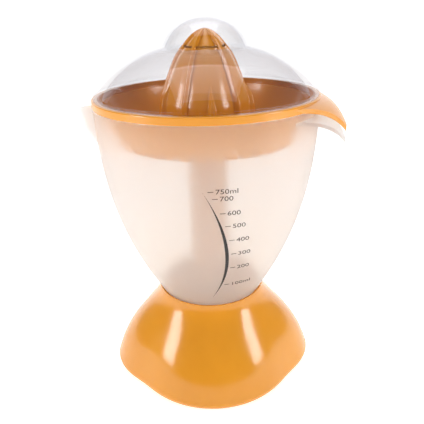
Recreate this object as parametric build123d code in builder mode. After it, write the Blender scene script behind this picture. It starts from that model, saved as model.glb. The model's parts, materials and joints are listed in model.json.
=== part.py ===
from build123d import *
import os
from math import acos, atan2, cos, hypot, pi, radians, sin, sqrt, tan

# Citrus press juicer: a geared motor base, a lift-off jar with a hollow column, a strainer
# basket with a handle tab, a ribbed reamer on a long drive stem, and a clear domed lid.
# Frame: +Z up, origin on the drive axis at the table. -Y is the front, +X the handle side.
# All sizes are in millimetres.

# ---------- overall sizes ----------
base_top = 62.0            # height of the base's neck, where the jar drops in
base_gap = 0.6             # the housing's lower edge stands this far above the table
neck_radius = 35.8
front_lobe = (60.9, 65.8)  # half width and half depth of the front and back lobes
side_lobe = (71.8, 51.4)   # half width and half depth of the side wings
lobe_turn = 3.0            # the lobes stand turned on the axis by this many degrees
lobe_levels = (0.0, 0.25, 0.50, 0.75, 1.0)
lobe_shares = (1.0, 0.845, 0.605, 0.25, 0.0)  # how much of each lobe is left at those levels
lobe_blend = 40.0          # how sharp the valleys between the lobes are: higher is sharper
outline_points = 48
base_edge_radius = 4.5
base_wall = 2.2
base_lip = 9.0             # how far the housing turns in under the base
plate_thickness = 2.6

jar_height = 131.5
jar_rim_radius = 68.2
jar_foot_radius = 30.2
jar_curve = 2.28           # power of the jar's flare: higher opens out sooner
jar_wall = 1.6
jar_floor = 3.3
column_wall = 1.6

recess_depth = 6.8
recess_floor_thickness = 2.0

flange_thickness = 4.2
flange_overhang = 0.7
basket_depth = 27.5
basket_wall = 1.8
basket_floor_radius = jar_rim_radius - 13.2
basket_hub_rise = 6.0      # the basket's floor climbs this much from its edge to its hub

reamer_height = 52.5
reamer_radius = 30.8
reamer_sink = 15.0         # the reamer's foot lies this far below the strainer's top
reamer_skin = 2.2
rib_count = 5
rib_proud = 2.0
rib_width = 2.8
rib_turn = -30.0           # azimuth of the first tall rib, from the front towards +X
short_rib_width = 5.0
short_rib_share = 0.42     # how far up the cone the short ribs reach
short_rib_offset = 36.5    # azimuth from a tall rib to the next short one

stem_radius = 10.0
stem_wall = 2.6
stem_bore = stem_radius - stem_wall
column_radius = stem_radius + 3.0
lid_wall = 1.6
lid_rim_height = 1.6
lid_crease_radius = 25.5
lid_crease_height = 27.2
lid_crown_height = 44.2

# ---------- fits and travel ----------
seat_gap = 0.3             # faces of different pieces that rest on each other
run_gap = 0.05             # radial clearance of a running fit
drop_gap = 0.4             # clearance of a piece that drops in
press_travel = 2.5         # how far the reamer goes down when a fruit is pressed on it
press_room = press_travel + 0.6
press_fit = 0.02          # radial clearance of a bush or axle in its hole
screw_gap = 0.2            # radial clearance of a screw in its hole
merge = 0.5                # how deep a pillar or rib is sunk in what it grows from
past = 1.0                 # how far a cut runs past the face it opens

# ---------- gear train ----------
gear_module = 0.8
addendum = 0.8 * gear_module
dedendum = 1.1 * gear_module
pressure_angle = 25.0
backlash = 0.16
output_teeth = 50
idler_pinion_teeth = 12
idler_wheel_teeth = 40
motor_pinion_teeth = 10
motor_bearing_angle = 115.0  # direction of the motor axis seen from the idler axle
idler_distance = gear_module * (output_teeth + idler_pinion_teeth) / 2
motor_distance = gear_module * (idler_wheel_teeth + motor_pinion_teeth) / 2
idler_x = idler_distance
idler_y = 0.0
motor_x = idler_x + motor_distance * cos(radians(motor_bearing_angle))
motor_y = motor_distance * sin(radians(motor_bearing_angle))

spindle_radius = 5.5
hex_flats = 2 * spindle_radius - 2.0
hex_gap = 0.12
gear_hub_radius = spindle_radius + 1.5
foot_flange_radius = hex_flats / 2 / cos(radians(30.0)) + 0.8
motor_radius = min(18.0, hypot(motor_x, motor_y) - foot_flange_radius - drop_gap)
motor_height = 20.0
motor_shaft_radius = 1.5
axle_radius = 2.0
pillar_radius = 3.2
pillar_circle = gear_module * output_teeth / 2 + 7.0
gearbox_radius = pillar_circle + 6.0
pillar_angles = (110.0, 190.0, 270.0)
screw_radius = 1.5
pilot_radius = screw_radius + run_gap
clear_radius = screw_radius + screw_gap

# ---------- levels, all worked out from the sizes above ----------
plate_low = base_gap + 0.4
plate_top = plate_low + plate_thickness
recess_floor = base_top - recess_depth
recess_under = recess_floor - recess_floor_thickness
cover_gap = 4.8
cover_thickness = 2.0
cover_top = recess_under - cover_gap
cover_low = cover_top - cover_thickness
gearbox_space = 17.0
deck_thickness = 2.5
deck_top = cover_low - gearbox_space
deck_low = deck_top - deck_thickness
wheel_gap = 1.5
wheel_low = deck_top + wheel_gap
wheel_thickness = 4.5
output_gear_low = wheel_low + wheel_thickness + 2.2
output_gear_thickness = 6.5
collar_top = recess_floor + 4.8
jar_bottom = recess_floor + seat_gap
jar_rim = jar_bottom + jar_height
flange_low = jar_rim + seat_gap
strainer_top = flange_low + flange_thickness
basket_bottom = strainer_top - basket_depth
column_drop = 6.0
column_top = basket_bottom - column_drop
lid_low = strainer_top + seat_gap
reamer_low = strainer_top - reamer_sink
stem_low = collar_top + seat_gap + press_room
stem_top = reamer_low + 22.0
basket_inner_floor = basket_bottom + basket_hub_rise + basket_wall


def direction(azimuth):
    """Unit vector in plan: 0 degrees is the front (-Y), 90 degrees is the handle side (+X)."""
    return (sin(radians(azimuth)), -cos(radians(azimuth)))


def jar_radius(z, inset=0.0):
    """Radius of the jar's wall at a height, taken in along its normal by an inset."""
    share = min(max((z - jar_bottom) / jar_height, 0.0), 1.0)
    radius = jar_rim_radius - (jar_rim_radius - jar_foot_radius) * (1 - share) ** jar_curve
    slope = (jar_rim_radius - jar_foot_radius) * jar_curve * (1 - share) ** (jar_curve - 1) / jar_height
    return radius - inset * sqrt(1 + slope * slope)


def lobe_outline(share, inset):
    """Points of the base's outline where a share of the lobes is left, taken in by an inset."""
    points = []
    for step in range(outline_points):
        angle = 2 * pi * step / outline_points
        radii = []
        for half_width, half_depth in (front_lobe, side_lobe):
            across = neck_radius + (half_width - neck_radius) * share - inset
            deep = neck_radius + (half_depth - neck_radius) * share - inset
            radii.append(across * deep / hypot(deep * cos(angle), across * sin(angle)))
        largest = max(radii)
        radius = largest * sum((r / largest) ** lobe_blend for r in radii) ** (1 / lobe_blend)
        radius -= largest * (2 ** (1 / lobe_blend) - 1) * (1 - share)
        turned_angle = angle + radians(lobe_turn)
        points.append((radius * cos(turned_angle), radius * sin(turned_angle)))
    return points


def lobes(inset, low, edge_radius):
    """The base's shape, two crossing elliptical domes that narrow to the round neck."""
    with BuildPart() as body:
        for level, share in zip(lobe_levels, lobe_shares):
            height = low + (base_top - low) * level
            with BuildSketch(Plane.XY.offset(height)):
                with BuildLine():
                    Spline(*lobe_outline(share, inset), periodic=True)
                make_face()
        loft()
        fillet(body.edges().sort_by(Axis.Z)[0], edge_radius)
    return body.part


def lobe_plan(inset, low, high):
    """A slab with the base's plan outline, taken in by an inset."""
    with BuildPart() as slab:
        with BuildSketch(Plane.XY.offset(low)):
            with BuildLine():
                Spline(*lobe_outline(1.0, inset), periodic=True)
            make_face()
        extrude(amount=high - low)
    return slab.part


def ring(inner, outer, low, high):
    """A plain ring about Z, or a disc where the inner radius is 0."""
    with BuildPart() as body:
        with BuildSketch(Plane.XY.offset(low)):
            Circle(outer)
            if inner > 0:
                Circle(inner, mode=Mode.SUBTRACT)
        extrude(amount=high - low)
    return body.part


def gear_outline(teeth, turn):
    """Points of an involute gear's outline with stub teeth, the first tooth at the angle turn."""
    pitch = gear_module * teeth / 2
    base = pitch * cos(radians(pressure_angle))
    root, tip = pitch - dedendum, pitch + addendum
    involute_at_pitch = tan(radians(pressure_angle)) - radians(pressure_angle)
    half_at_pitch = (pi * gear_module / 2 - backlash) / (2 * pitch)

    def half_angle(radius):
        angle = acos(base / max(radius, base))
        return half_at_pitch + involute_at_pitch - (tan(angle) - angle)

    flank = [root, max(base, root + 0.05), (max(base, root) + tip) / 2, tip]
    points = []
    for tooth in range(teeth):
        middle = radians(turn) + 2 * pi * tooth / teeth
        for radius in flank:
            angle = middle - half_angle(radius)
            points.append((radius * cos(angle), radius * sin(angle)))
        for radius in reversed(flank):
            angle = middle + half_angle(radius)
            points.append((radius * cos(angle), radius * sin(angle)))
    return points


def toothed_disc(teeth, turn, centre, low, thickness):
    """A spur gear blank with its teeth, standing on the level low."""
    with BuildPart() as gear:
        with BuildSketch(Plane((*centre, low))):
            Polygon(*gear_outline(teeth, turn), align=None)
        extrude(amount=thickness)
    return gear.part


def flat_screw(x, y, low, head_height, length, head_radius):
    """A cross-head screw standing head down at the level low."""
    with BuildPart() as screw:
        with BuildSketch(Plane((x, y, low))):
            Circle(head_radius)
        extrude(amount=head_height)
        with BuildSketch(Plane((x, y, low + head_height))):
            Circle(screw_radius)
        extrude(amount=length)
        with BuildSketch(Plane((x, y, low))):
            Rectangle(head_radius * 1.2, 0.7)
            Rectangle(0.7, head_radius * 1.2)
        extrude(amount=head_height / 2, mode=Mode.SUBTRACT)
    return screw.part


os.makedirs("parts", exist_ok=True)

# ---------- base housing ----------
boss_radius = 4.0
side_boss = side_lobe[0] - 16.8
front_boss = front_lobe[1] - 18.8
boss_top_gap = 4.0
pilot_depth = 13.0
turned = (cos(radians(lobe_turn)), sin(radians(lobe_turn)))
boss_points = [
    (side_boss * turned[0], side_boss * turned[1]),
    (-side_boss * turned[0], -side_boss * turned[1]),
    (-front_boss * turned[1], front_boss * turned[0]),
    (front_boss * turned[1], -front_boss * turned[0]),
]
pillar_points = [
    (pillar_circle * cos(radians(a)), pillar_circle * sin(radians(a))) for a in pillar_angles
]
bush_outer = spindle_radius + 2.0
collar_radius = bush_outer + 2.0
bush_low = recess_under - 2.0
cup_edge = neck_radius + 3.0
inlet_cut = 20.0
inlet_height = 13.0
inlet_hole = 5.1
housing_floor = base_gap + base_wall
outer_shape = lobes(0.0, base_gap, base_edge_radius)

with BuildPart() as bosses:
    with BuildSketch(Plane.XY.offset(plate_top)):
        with Locations(*boss_points):
            Circle(boss_radius)
    extrude(amount=base_top - plate_top - boss_top_gap)
    add(outer_shape, mode=Mode.INTERSECT)

with BuildPart() as recess_cup:
    with BuildSketch(Plane.XZ):
        with BuildLine():
            Line((0, recess_under), (cup_edge, recess_under))
            Line((cup_edge, recess_under), (cup_edge, base_top))
            Line((cup_edge, base_top), (0, base_top))
            Line((0, base_top), (0, recess_under))
        make_face()
    revolve(axis=Axis.Z)
    add(outer_shape, mode=Mode.INTERSECT)

seat_levels = (recess_floor, base_top - 3 * past, base_top + past)
with BuildPart() as recess_hollow:
    with BuildSketch(Plane.XZ):
        with BuildLine():
            seat = [(jar_radius(z) + drop_gap, z) for z in seat_levels]
            Line((0, recess_floor), seat[0])
            Spline(*seat)
            Line(seat[-1], (0, base_top + past))
            Line((0, base_top + past), (0, recess_floor))
        make_face()
    revolve(axis=Axis.Z)

key_radius = 20.0
key_length = 6.0
key_width = 4.0
key_height = 1.8
key_count = 3
with BuildPart() as base_housing:
    add(outer_shape)
    add(lobes(base_wall, housing_floor, base_edge_radius - base_wall), mode=Mode.SUBTRACT)
    add(lobe_plan(base_lip, base_gap - past, housing_floor + past), mode=Mode.SUBTRACT)
    add(recess_cup.part)
    add(recess_hollow.part, mode=Mode.SUBTRACT)
    add(bosses.part)
    add(ring(0, collar_radius, bush_low, collar_top))
    with BuildSketch(Plane.XY.offset(cover_top)):
        with Locations(*pillar_points):
            Circle(pillar_radius)
    extrude(amount=cover_gap + merge)
    with BuildSketch(Plane.XY.offset(recess_floor - merge)):
        with PolarLocations(key_radius + key_length / 2, key_count, start_angle=90):
            Rectangle(key_length, key_width)
    extrude(amount=key_height + merge)
    with BuildSketch(Plane.XY.offset(bush_low - past)):
        Circle(bush_outer + press_fit)
    extrude(amount=collar_top - bush_low + 2 * past, mode=Mode.SUBTRACT)
    with BuildSketch(Plane.XY.offset(cover_top - past)):
        with Locations(*pillar_points):
            Circle(pilot_radius)
    extrude(amount=cover_gap, mode=Mode.SUBTRACT)
    with BuildSketch(Plane.XY.offset(plate_top - past)):
        with Locations(*boss_points):
            Circle(pilot_radius)
    extrude(amount=pilot_depth, mode=Mode.SUBTRACT)
    with BuildSketch(Plane((0, front_lobe[1] - inlet_cut, inlet_height), x_dir=(1, 0, 0), z_dir=(0, 1, 0))):
        Circle(inlet_hole)
    extrude(amount=1.5 * inlet_cut, mode=Mode.SUBTRACT)
base_housing.part.label = "base_housing"
export_step(base_housing.part, "parts/base_housing.step")

# ---------- bottom plate, foot ring and the housing's screws ----------
foot_inner = 35.0
foot_outer = 39.0
foot_height = plate_low + 1.0
spring_seat_height = 5.0
spring_seat_radius = 5.2
spring_pin_radius = 1.8
spring_low = plate_top + spring_seat_height
spring_pin_length = 3.0
screw_head_radius = 2.8
screw_head_height = 1.2
screw_sink = 0.1
housing_screw_length = 11.0
vent_pitch = 5.0
vent_spread = 40.0
vent_count = 5
vent_length = 10.0
vent_width = 2.2
with BuildPart() as bottom_plate:
    add(lobe_plan(base_lip + drop_gap, plate_low, plate_top))
    add(ring(foot_inner - run_gap, foot_outer + run_gap, 0, foot_height), mode=Mode.SUBTRACT)
    add(ring(0, spring_seat_radius, plate_top, spring_low))
    add(ring(0, spring_pin_radius, spring_low, spring_low + spring_pin_length))
    with BuildSketch(Plane.XY.offset(plate_low)):
        with Locations(*boss_points):
            Circle(clear_radius)
    extrude(amount=plate_thickness, mode=Mode.SUBTRACT)
    with BuildSketch(Plane.XY.offset(plate_low)):
        with Locations(*boss_points):
            Circle(screw_head_radius + seat_gap)
    extrude(amount=screw_head_height + screw_sink, mode=Mode.SUBTRACT)
    with BuildSketch(Plane.XY.offset(plate_low)):
        with GridLocations(vent_pitch, vent_spread, vent_count, 2):
            SlotOverall(vent_length, vent_width, rotation=90)
    extrude(amount=plate_thickness, mode=Mode.SUBTRACT)
bottom_plate.part.label = "bottom_plate"
export_step(bottom_plate.part, "parts/bottom_plate.step")

with BuildPart() as foot_ring:
    add(ring(foot_inner, foot_outer, 0, foot_height))
    fillet(foot_ring.edges().group_by(Axis.Z)[0], 0.5)
foot_ring.part.label = "foot_ring"
export_step(foot_ring.part, "parts/foot_ring.step")

with BuildPart() as housing_screws:
    for x, y in boss_points:
        head_low = plate_low + screw_sink
        add(flat_screw(x, y, head_low, screw_head_height, housing_screw_length, screw_head_radius))
housing_screws.part.label = "housing_screws"
export_step(housing_screws.part, "parts/housing_screws.step")

# ---------- cord inlet ----------
inlet_bore = 3.2
inlet_length = 12.0
inlet_outer_end = front_lobe[1] + 0.6
with BuildPart() as cord_inlet:
    with BuildSketch(Plane((0, inlet_outer_end, inlet_height), x_dir=(1, 0, 0), z_dir=(0, -1, 0))):
        Circle(inlet_hole - 0.1)
        Circle(inlet_bore, mode=Mode.SUBTRACT)
    extrude(amount=inlet_length)
cord_inlet.part.label = "cord_inlet"
export_step(cord_inlet.part, "parts/cord_inlet.step")

# ---------- gearbox deck and cover ----------
motor_boss_radius = 5.5
gearbox_screw_head = 1.8
gearbox_screw_grip = cover_gap - 1.6
with BuildPart() as gearbox_deck:
    add(ring(0, gearbox_radius, deck_low, deck_top))
    with BuildSketch(Plane.XY.offset(deck_top)):
        with Locations(*pillar_points):
            Circle(pillar_radius)
    extrude(amount=cover_low - deck_top)
    with BuildSketch(Plane.XY.offset(deck_low)):
        with Locations(*pillar_points):
            Circle(clear_radius)
    extrude(amount=cover_low - deck_low, mode=Mode.SUBTRACT)
    with BuildSketch(Plane.XY.offset(deck_low)):
        Circle(gear_hub_radius + run_gap)
        with Locations((idler_x, idler_y)):
            Circle(axle_radius + press_fit)
        with Locations((motor_x, motor_y)):
            Circle(motor_boss_radius)
    extrude(amount=deck_thickness, mode=Mode.SUBTRACT)
gearbox_deck.part.label = "gearbox_deck"
export_step(gearbox_deck.part, "parts/gearbox_deck.step")

with BuildPart() as gearbox_cover:
    add(ring(gear_hub_radius + run_gap, gearbox_radius, cover_low, cover_top))
    with BuildSketch(Plane.XY.offset(cover_low)):
        with Locations(*pillar_points):
            Circle(clear_radius)
        with Locations((idler_x, idler_y)):
            Circle(axle_radius + press_fit)
    extrude(amount=cover_thickness, mode=Mode.SUBTRACT)
gearbox_cover.part.label = "gearbox_cover"
export_step(gearbox_cover.part, "parts/gearbox_cover.step")

with BuildPart() as gearbox_screws:
    for x, y in pillar_points:
        add(
            flat_screw(
                x,
                y,
                deck_low - gearbox_screw_head,
                gearbox_screw_head,
                cover_top + gearbox_screw_grip - deck_low,
                screw_head_radius,
            )
        )
gearbox_screws.part.label = "gearbox_screws"
export_step(gearbox_screws.part, "parts/gearbox_screws.step")

# ---------- output gear, idler and its axle ----------
hub_low = deck_low + screw_gap
hub_top = cover_top - screw_gap
spoke_hole_circle = 13.0
spoke_hole_radius = 3.4
spoke_hole_count = 5
hub_pocket = press_room + 0.6
with BuildPart() as output_gear:
    add(toothed_disc(output_teeth, 0.0, (0, 0), output_gear_low, output_gear_thickness))
    add(ring(0, gear_hub_radius, hub_low, hub_top))
    with BuildSketch(Plane.XY.offset(hub_low)):
        RegularPolygon(hex_flats / 2 + hex_gap, 6, major_radius=False)
    extrude(amount=hub_top - hub_low, mode=Mode.SUBTRACT)
    with BuildSketch(Plane.XY.offset(hub_top - hub_pocket)):
        Circle(spindle_radius + drop_gap)
    extrude(amount=hub_pocket, mode=Mode.SUBTRACT)
    with BuildSketch(Plane.XY.offset(output_gear_low)):
        with PolarLocations(spoke_hole_circle, spoke_hole_count, start_angle=36):
            Circle(spoke_hole_radius)
    extrude(amount=output_gear_thickness, mode=Mode.SUBTRACT)
output_gear.part.label = "output_gear"
export_step(output_gear.part, "parts/output_gear.step")

idler_top = output_gear_low + output_gear_thickness + merge
with BuildPart() as idler_gear:
    add(toothed_disc(idler_wheel_teeth, motor_bearing_angle, (idler_x, idler_y), wheel_low, wheel_thickness))
    add(
        toothed_disc(
            idler_pinion_teeth,
            180.0 + 180.0 / idler_pinion_teeth,
            (idler_x, idler_y),
            wheel_low + wheel_thickness,
            idler_top - wheel_low - wheel_thickness,
        )
    )
    with BuildSketch(Plane((idler_x, idler_y, wheel_low))):
        Circle(axle_radius + run_gap)
    extrude(amount=idler_top - wheel_low, mode=Mode.SUBTRACT)
idler_gear.part.label = "idler_gear"
export_step(idler_gear.part, "parts/idler_gear.step")

with BuildPart() as idler_axle:
    with BuildSketch(Plane((idler_x, idler_y, deck_low))):
        Circle(axle_radius)
    extrude(amount=cover_top - deck_low)
idler_axle.part.label = "idler_axle"
export_step(idler_axle.part, "parts/idler_axle.step")

# ---------- motor ----------
motor_top = deck_low
motor_low = motor_top - motor_height
end_plate_thickness = 1.2
coil_gap = 2.0
coil_height = motor_height - 6.5
coil_edge = 1.2
shaft_fit = 0.01
shaft_low = motor_low + 1.3
can_wall = 1.0
bearing_radius = 4.0
bearing_height = 3.0
stator_outer = motor_radius - can_wall
stator_inner = 11.0
air_gap = 0.6
rotor_radius = stator_inner - air_gap
with BuildPart() as motor_can:
    with BuildSketch(Plane((motor_x, motor_y, motor_low))):
        Circle(motor_radius)
    extrude(amount=motor_height - end_plate_thickness)
    with BuildSketch(Plane((motor_x, motor_y, motor_low + can_wall))):
        Circle(stator_outer)
    extrude(amount=motor_height, mode=Mode.SUBTRACT)
motor_can.part.label = "motor_can"
export_step(motor_can.part, "parts/motor_can.step")

with BuildPart() as motor_end_plate:
    with BuildSketch(Plane((motor_x, motor_y, motor_top - end_plate_thickness))):
        Circle(motor_radius)
        Circle(bearing_radius + press_fit, mode=Mode.SUBTRACT)
    extrude(amount=end_plate_thickness)
motor_end_plate.part.label = "motor_end_plate"
export_step(motor_end_plate.part, "parts/motor_end_plate.step")

with BuildPart() as stator_coil:
    with BuildSketch(Plane((motor_x, motor_y, motor_low + can_wall + coil_gap))):
        Circle(stator_outer - 5 * press_fit)
        Circle(stator_inner, mode=Mode.SUBTRACT)
    extrude(amount=coil_height)
    fillet(stator_coil.edges(), coil_edge)
stator_coil.part.label = "stator_coil"
export_step(stator_coil.part, "parts/stator_coil.step")

with BuildPart() as motor_bearings:
    for low in (motor_low + can_wall, motor_top - bearing_height):
        with BuildSketch(Plane((motor_x, motor_y, low))):
            Circle(bearing_radius)
            Circle(motor_shaft_radius + run_gap, mode=Mode.SUBTRACT)
        extrude(amount=bearing_height)
motor_bearings.part.label = "motor_bearings"
export_step(motor_bearings.part, "parts/motor_bearings.step")

pinion_low = deck_top + 0.6
pinion_top = wheel_low + wheel_thickness + 0.8
pinion_phase = motor_bearing_angle + 180.0 + 180.0 / motor_pinion_teeth
with BuildPart() as motor_pinion:
    add(
        toothed_disc(
            motor_pinion_teeth,
            pinion_phase,
            (motor_x, motor_y),
            pinion_low,
            pinion_top - pinion_low,
        )
    )
    with BuildSketch(Plane((motor_x, motor_y, pinion_low))):
        Circle(motor_shaft_radius + shaft_fit)
    extrude(amount=pinion_top - pinion_low, mode=Mode.SUBTRACT)
motor_pinion.part.label = "motor_pinion"
export_step(motor_pinion.part, "parts/motor_pinion.step")

rotor_low = motor_low + can_wall + bearing_height + merge
rotor_top = motor_top - bearing_height - merge
with BuildPart() as motor_rotor:
    with BuildSketch(Plane((motor_x, motor_y, rotor_low))):
        Circle(rotor_radius)
        Circle(motor_shaft_radius + shaft_fit, mode=Mode.SUBTRACT)
    extrude(amount=rotor_top - rotor_low)
motor_rotor.part.label = "motor_rotor"
export_step(motor_rotor.part, "parts/motor_rotor.step")

with BuildPart() as motor_shaft:
    with BuildSketch(Plane((motor_x, motor_y, shaft_low))):
        Circle(motor_shaft_radius)
    extrude(amount=pinion_top - shaft_low)
motor_shaft.part.label = "motor_shaft"
export_step(motor_shaft.part, "parts/motor_shaft.step")

# ---------- output spindle, its bush and seal ----------
spindle_foot = deck_low - 7.0
foot_flange_height = 1.5
spindle_shoulder = hub_top - 0.4
spindle_neck_top = collar_top + 0.6
spindle_engagement = 14.0
spindle_top = stem_low + spindle_engagement
with BuildPart() as output_spindle:
    add(ring(0, foot_flange_radius, spindle_foot, spindle_foot + foot_flange_height))
    add(ring(0, spring_pin_radius, spindle_foot - spring_pin_length, spindle_foot))
    with BuildSketch(Plane.XY.offset(spindle_foot + foot_flange_height)):
        RegularPolygon(hex_flats / 2, 6, major_radius=False)
    extrude(amount=spindle_top - spindle_foot - foot_flange_height)
    chamfer(output_spindle.faces().sort_by(Axis.Z)[-1].edges(), 0.8)
    add(ring(0, spindle_radius, spindle_shoulder, spindle_neck_top))
output_spindle.part.label = "output_spindle"
export_step(output_spindle.part, "parts/output_spindle.step")

seal_height = 1.6
seal_low = collar_top - seal_height
with BuildPart() as output_bush:
    add(ring(spindle_radius + run_gap, bush_outer, bush_low, seal_low - 5 * press_fit))
output_bush.part.label = "output_bush"
export_step(output_bush.part, "parts/output_bush.step")

with BuildPart() as spindle_seal:
    add(ring(spindle_radius + run_gap, bush_outer, seal_low, collar_top))
    fillet(spindle_seal.edges().group_by(Axis.Z)[-1].sort_by(SortBy.LENGTH)[-1], 0.5)
spindle_seal.part.label = "spindle_seal"
export_step(spindle_seal.part, "parts/spindle_seal.step")

# ---------- return spring ----------
spring_wire = 0.45
spring_radius = 3.0
spring_turns = 6
spring_start = spring_low + spring_wire + 0.1
spring_height = spindle_foot - spring_wire - 0.1 - spring_start
with BuildPart() as return_spring:
    with BuildLine() as coil:
        Helix(spring_height / spring_turns, spring_height, spring_radius, center=(0, 0, spring_start))
    with BuildSketch(Plane(coil.line @ 0, z_dir=coil.line % 0)):
        Circle(spring_wire)
    sweep(is_frenet=True)
return_spring.part.label = "return_spring"
export_step(return_spring.part, "parts/return_spring.step")

# ---------- press switch ----------
switch_x = -15.0
switch_length = 12.0
switch_width = 9.0
plunger_depth = 2.0
lever_thickness = 1.0
lever_width = 4.0
lever_low = spindle_foot - seat_gap - lever_thickness
lever_outer_end = switch_x - 2.0
switch_top = lever_low - press_room
plunger_radius = 1.2
with BuildPart() as switch_body:
    with BuildSketch(Plane((switch_x, 0, plate_top))):
        Rectangle(switch_length, switch_width)
    extrude(amount=switch_top - plate_top)
    with BuildSketch(Plane((switch_x, 0, switch_top - press_room - plunger_depth - past))):
        Circle(plunger_radius + run_gap)
    extrude(amount=press_room + plunger_depth + past, mode=Mode.SUBTRACT)
switch_body.part.label = "switch_body"
export_step(switch_body.part, "parts/switch_body.step")

lever_inner_end = -(spring_pin_radius + spring_radius - seat_gap)
with BuildPart() as switch_plunger:
    with BuildSketch(Plane(((lever_outer_end + lever_inner_end) / 2, 0, lever_low))):
        Rectangle(lever_inner_end - lever_outer_end, lever_width)
    extrude(amount=lever_thickness)
    with BuildSketch(Plane((switch_x, 0, switch_top - plunger_depth))):
        Circle(plunger_radius)
    extrude(amount=lever_low - switch_top + plunger_depth)
switch_plunger.part.label = "switch_plunger"
export_step(switch_plunger.part, "parts/switch_plunger.step")

# ---------- jar ----------
spout_azimuth = -92.0
spout_reach = jar_rim_radius + 12.8
spout_toe_reach = jar_rim_radius - 1.8
spout_drop = 28.0
spout_slope = 0.72
spout_root = jar_rim_radius - 13.2
spout_nose = 2.4
spout_toward = direction(spout_azimuth)
spout_levels = (0.0, 0.25, 0.5, 0.75, 1.0)
spout_shares = (0.12, 0.507, 0.774, 0.885, 0.97)
spout_dip = 3.5
rim_bead = 0.5
rim_bead_height = 1.4
handle_azimuth = 68.0
handle_half_angle = 28.0
handle_reach = 17.5
handle_nose = 9.0
handle_steps = ((0.0, 0.0), (7.5, 1.9), (13.5, 6.1), (19.5, 13.9))  # out from its root, and down
handle_swell = 0.15
jar_tongue_drop = 7.5
jar_tongue_thickness = 1.7
strainer_tongue_thickness = 2.2


def spout_wedge(inset):
    """The beak-shaped wedge of the spout, from its toe on the wall up past the rim."""
    with BuildPart() as wedge:
        for level, share in zip(spout_levels, spout_shares):
            height = jar_rim + past - (spout_drop + past) * (1 - level)
            reach = spout_toe_reach + (spout_reach - spout_toe_reach) * share - inset
            half = spout_slope * (reach - spout_root)
            with BuildSketch(Plane((0, 0, height), x_dir=(*spout_toward, 0), z_dir=(0, 0, 1))):
                Polygon((spout_root, -half), (reach, 0), (spout_root, half), align=None)
                fillet(vertices().sort_by(Axis.X)[0], min(spout_nose, 0.5 * half))
        loft()
    return wedge.part


def tongue(drop, thickness, reach, half_angle):
    """A curved tongue that runs out and down from the rim, cut from a turned profile."""
    top = strainer_top - 0.6 - drop
    start = jar_rim_radius - 3.0
    outline = [(start + out, top - down) for out, down in handle_steps]
    underside = [(r, z - thickness * (1.0 + handle_swell * i)) for i, (r, z) in enumerate(outline)]
    with BuildPart() as body:
        with BuildSketch(Plane.XZ):
            with BuildLine():
                upper = Spline(*outline)
                lower = Spline(*underside)
                Line(upper @ 0, lower @ 0)
                Line(upper @ 1, lower @ 1)
            make_face()
        revolve(axis=Axis.Z)
        centre = direction(handle_azimuth)
        half = jar_rim_radius * sin(radians(half_angle))
        root = jar_rim_radius * cos(radians(half_angle))
        tip = root + reach + 8.0
        plan_low = top - 2 * handle_steps[-1][1]
        with BuildSketch(Plane((0, 0, plan_low), x_dir=(*centre, 0), z_dir=(0, 0, 1))):
            Polygon((root - 6, -half), (root, -half), (tip, 0), (root, half), (root - 6, half), align=None)
            fillet(vertices().sort_by_distance((centre[0] * tip, centre[1] * tip, plan_low))[0], handle_nose)
        extrude(amount=top + past - plan_low, mode=Mode.INTERSECT)
    return body.part


wall_shares = (0.0, 0.08, 0.18, 0.32, 0.5, 0.72, 1.0)
jar_levels = [jar_bottom + jar_height * share for share in wall_shares]
inner_floor = jar_bottom + jar_floor
inner_levels = [inner_floor + (jar_rim - inner_floor) * share for share in wall_shares]
jar_foot_edge = 2.0
above_rim = 20.0
dip_angle = atan2(spout_dip, spout_reach - jar_rim_radius)
key_slot_height = key_height + 0.2
with BuildPart() as jar_hollow:
    with BuildSketch(Plane.XZ):
        with BuildLine():
            wall_line = Spline(*[(jar_radius(z, jar_wall), z) for z in inner_levels])
            Line((0, inner_floor), wall_line @ 0)
            Line(wall_line @ 1, (0, jar_rim))
            Line((0, jar_rim), (0, inner_floor))
        make_face()
    revolve(axis=Axis.Z)

with BuildPart() as jar:
    with BuildSketch(Plane.XZ):
        with BuildLine():
            skin = Spline(*[(jar_radius(z), z) for z in jar_levels])
            Line((0, jar_bottom), skin @ 0)
            Line(skin @ 1, (0, jar_rim))
            Line((0, jar_rim), (0, jar_bottom))
        make_face()
    revolve(axis=Axis.Z)
    fillet(jar.edges().sort_by(Axis.Z)[0], jar_foot_edge)
    add(ring(jar_rim_radius - jar_wall, jar_rim_radius + rim_bead, jar_rim - rim_bead_height, jar_rim))
    add(spout_wedge(0.0))
    add(tongue(jar_tongue_drop, jar_tongue_thickness, handle_reach - 1.0, handle_half_angle - 2.0))
    with BuildSketch(Plane.XY.offset(jar_rim)):
        Circle(2 * jar_rim_radius)
    extrude(amount=above_rim, mode=Mode.SUBTRACT)
    add(jar_hollow.part, mode=Mode.SUBTRACT)
    add(spout_wedge(jar_wall / sin(atan2(spout_slope, 1.0))), mode=Mode.SUBTRACT)
    with BuildSketch(
        Plane(
            (spout_toward[0] * jar_rim_radius, spout_toward[1] * jar_rim_radius, jar_rim),
            x_dir=(-spout_toward[1], spout_toward[0], 0),
            z_dir=(spout_toward[0] * sin(dip_angle), spout_toward[1] * sin(dip_angle), cos(dip_angle)),
        )
    ):
        with Locations((0, -above_rim)):
            Rectangle(3 * above_rim, 2 * above_rim)
    extrude(amount=above_rim / 2, mode=Mode.SUBTRACT)
    with BuildSketch(Plane.XY.offset(jar_bottom)):
        Circle(column_radius - column_wall)
    extrude(amount=jar_floor, mode=Mode.SUBTRACT)
    with BuildSketch(Plane.XY.offset(jar_bottom)):
        with PolarLocations(key_radius + key_length / 2, key_count, start_angle=90):
            Rectangle(key_length + 2 * drop_gap, key_width + 2 * drop_gap)
    extrude(amount=key_slot_height, mode=Mode.SUBTRACT)
jar.part.label = "jar"
export_step(jar.part, "parts/jar.step")

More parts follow.
